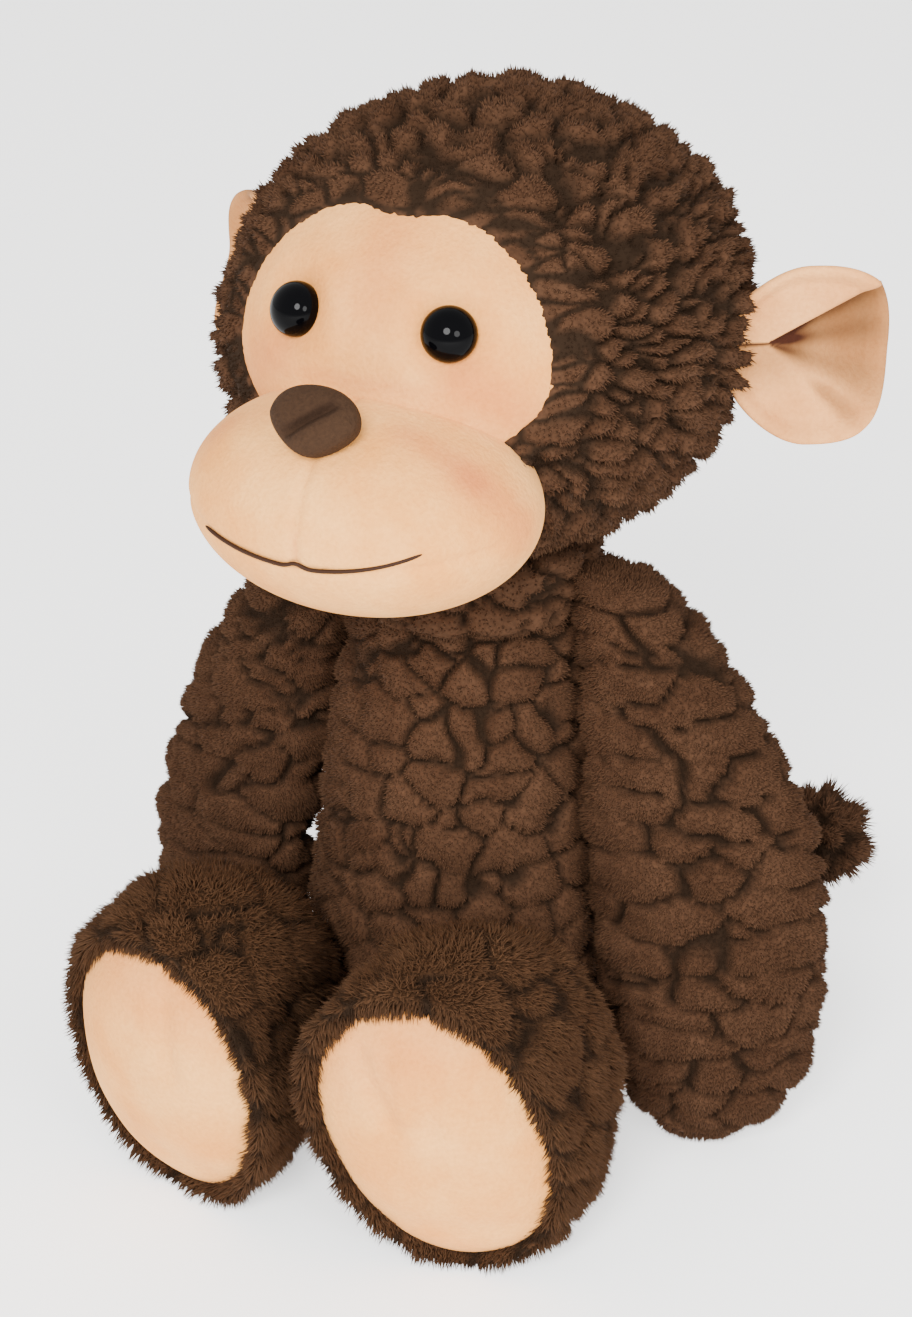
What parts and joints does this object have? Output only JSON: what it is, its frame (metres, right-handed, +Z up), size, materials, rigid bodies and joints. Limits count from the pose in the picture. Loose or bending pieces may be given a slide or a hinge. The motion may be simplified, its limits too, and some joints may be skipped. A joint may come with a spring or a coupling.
{
  "type": "stuffed monkey",
  "caption": "Sitting plush monkey in crinkled dark brown fur with a cream face, muzzle, ears and soles, sewn from stuffed limbs that swing on a pear-shaped body.",
  "frame": {"origin": "middle of the flat seat panel's underside, on the surface the monkey sits on", "axes": "+Z up, -Y the way the monkey faces, +X its left"},
  "size_m": [0.2026, 0.2065, 0.275],
  "materials": {
    "brown_plush": "matte",
    "cream_plush": "matte",
    "ear_plush": "matte",
    "nose_plush": "matte",
    "brown_thread": "satin",
    "eye_plastic": "gloss",
    "washer_plastic": "matte",
    "fibre_filling": "matte",
    "pellet_bag": "matte"
  },
  "bodies": {
    "torso": {"torso_front_panel": "brown_plush", "torso_back_panel": "brown_plush", "seat_panel": "brown_plush", "torso_stuffing": "fibre_filling", "seat_pellet_pouch": "pellet_bag", "back_closing_stitch": "brown_thread"},
    "neck": {"neck_wad": "fibre_filling"},
    "head": {"head_left_panel": "brown_plush", "head_right_panel": "brown_plush", "head_stuffing": "fibre_filling", "face_panel": "cream_plush", "muzzle_left_panel": "cream_plush", "muzzle_right_panel": "cream_plush", "chin_panel": "cream_plush", "muzzle_stuffing": "fibre_filling", "nose": "nose_plush", "mouth_stitch": "brown_thread", "eye_left": "eye_plastic", "eye_right": "eye_plastic", "eye_left_washer": "washer_plastic", "eye_right_washer": "washer_plastic"},
    "ear_left": {"ear_left_front_panel": "ear_plush", "ear_left_back_panel": "ear_plush"},
    "ear_right": {"ear_right_front_panel": "ear_plush", "ear_right_back_panel": "ear_plush"},
    "arm_left": {"arm_left_front_panel": "brown_plush", "arm_left_back_panel": "brown_plush", "arm_left_stuffing": "fibre_filling"},
    "arm_right": {"arm_right_front_panel": "brown_plush", "arm_right_back_panel": "brown_plush", "arm_right_stuffing": "fibre_filling"},
    "leg_left": {"leg_left_top_panel": "brown_plush", "leg_left_bottom_panel": "brown_plush", "sole_left": "cream_plush", "leg_left_stuffing": "fibre_filling"},
    "leg_right": {"leg_right_top_panel": "brown_plush", "leg_right_bottom_panel": "brown_plush", "sole_right": "cream_plush", "leg_right_stuffing": "fibre_filling"},
    "tail": {"tail_top_panel": "brown_plush", "tail_bottom_panel": "brown_plush", "tail_stuffing": "fibre_filling"}
  },
  "joints": [
    {"name": "neck_turn", "type": "hinge", "parent": "torso", "child": "neck", "pos_m": [0, 0, 0.149], "axis": [0, 0, 1], "range_deg": [-25, 25], "stiffness_Nm_per_rad": 0.6},
    {"name": "neck_nod", "type": "hinge", "parent": "neck", "child": "head", "pos_m": [0, 0, 0.149], "axis": [1, 0, 0], "range_deg": [-10, 12], "stiffness_Nm_per_rad": 1.2},
    {"name": "ear_left_flex", "type": "hinge", "parent": "head", "child": "ear_left", "pos_m": [0.06844, 0.0301, 0.212], "axis": [0, 0, 1], "range_deg": [-15, 15], "stiffness_Nm_per_rad": 0.02},
    {"name": "ear_right_flex", "type": "hinge", "parent": "head", "child": "ear_right", "pos_m": [-0.06844, 0.0301, 0.212], "axis": [0, 0, 1], "range_deg": [-15, 15], "stiffness_Nm_per_rad": 0.02},
    {"name": "shoulder_left", "type": "hinge", "parent": "torso", "child": "arm_left", "pos_m": [0.0465, 0, 0.148], "axis": [0, -1, 0], "range_deg": [0, 75], "stiffness_Nm_per_rad": 0.15},
    {"name": "shoulder_right", "type": "hinge", "parent": "torso", "child": "arm_right", "pos_m": [-0.0465, 0, 0.148], "axis": [0, 1, 0], "range_deg": [0, 75], "stiffness_Nm_per_rad": 0.15},
    {"name": "hip_left", "type": "hinge", "parent": "torso", "child": "leg_left", "pos_m": [0.037, -0.056, 0.034], "axis": [-1, 0, 0], "range_deg": [-8, 15], "stiffness_Nm_per_rad": 0.15},
    {"name": "hip_right", "type": "hinge", "parent": "torso", "child": "leg_right", "pos_m": [-0.037, -0.056, 0.034], "axis": [-1, 0, 0], "range_deg": [-8, 15], "stiffness_Nm_per_rad": 0.15},
    {"name": "tail_root", "type": "hinge", "parent": "torso", "child": "tail", "pos_m": [0.008, 0.058, 0.026], "axis": [0, 0, 1], "range_deg": [-15, 40], "stiffness_Nm_per_rad": 0.05}
  ]
}
